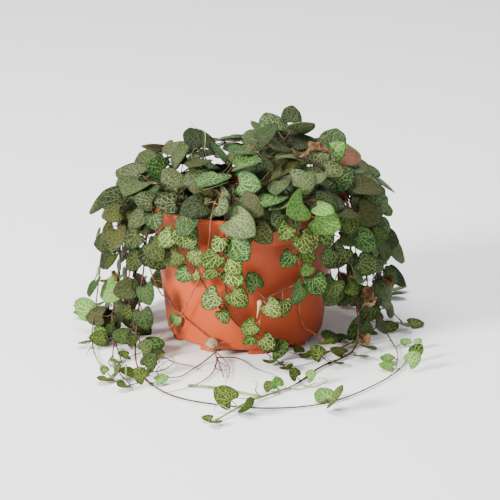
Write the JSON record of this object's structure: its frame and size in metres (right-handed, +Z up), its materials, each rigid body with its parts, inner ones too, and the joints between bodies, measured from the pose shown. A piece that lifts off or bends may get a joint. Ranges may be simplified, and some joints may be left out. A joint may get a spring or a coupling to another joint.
{
  "type": "potted string of hearts plant",
  "caption": "Trailing string of hearts in a round nursery pot: leafy stems mound over the rim, hang down the sides and run on along the surface.",
  "frame": {"origin": "on the pot's axis, at the surface that the pot's feet stand on", "axes": "+Z up along the pot's axis, -Y towards the front of the plant, +X to the viewer's right"},
  "size_m": [0.2114, 0.3255, 0.1328],
  "materials": {
    "pot_plastic": "satin moulded plastic, terracotta orange",
    "soil": "dark peat with fine crumbs",
    "leaf": "waxy green blades netted with silver, on thin purple-brown stems"
  },
  "bodies": {
    "root": {"pot": "pot_plastic", "soil": "soil", "front_left": "leaf", "front_cluster": "leaf", "front_crossing": "leaf", "front_middle": "leaf", "front_pink": "leaf", "front_right": "leaf", "front_long": "leaf", "left_to_front": "leaf", "left_outer": "leaf", "left_front": "leaf", "left_near": "leaf", "left_far": "leaf", "left_inner": "leaf", "left_back": "leaf", "left_top": "leaf", "left_rear": "leaf", "right_front": "leaf", "right_near": "leaf", "right_middle": "leaf", "right_far": "leaf", "right_back": "leaf", "right_top": "leaf", "right_outer": "leaf", "right_short": "leaf", "back_right": "leaf", "back_long": "leaf", "back_middle": "leaf", "back_left": "leaf", "back_side": "leaf", "crown_right": "leaf", "crown_left": "leaf", "crown_back": "leaf", "crown_front": "leaf", "crown_right_back": "leaf", "crown_left_back": "leaf", "crown_left_front": "leaf", "crown_right_front": "leaf", "crown_back_right": "leaf", "crown_tall": "leaf", "crown_front_inner": "leaf", "crown_middle": "leaf"}
  },
  "joints": []
}
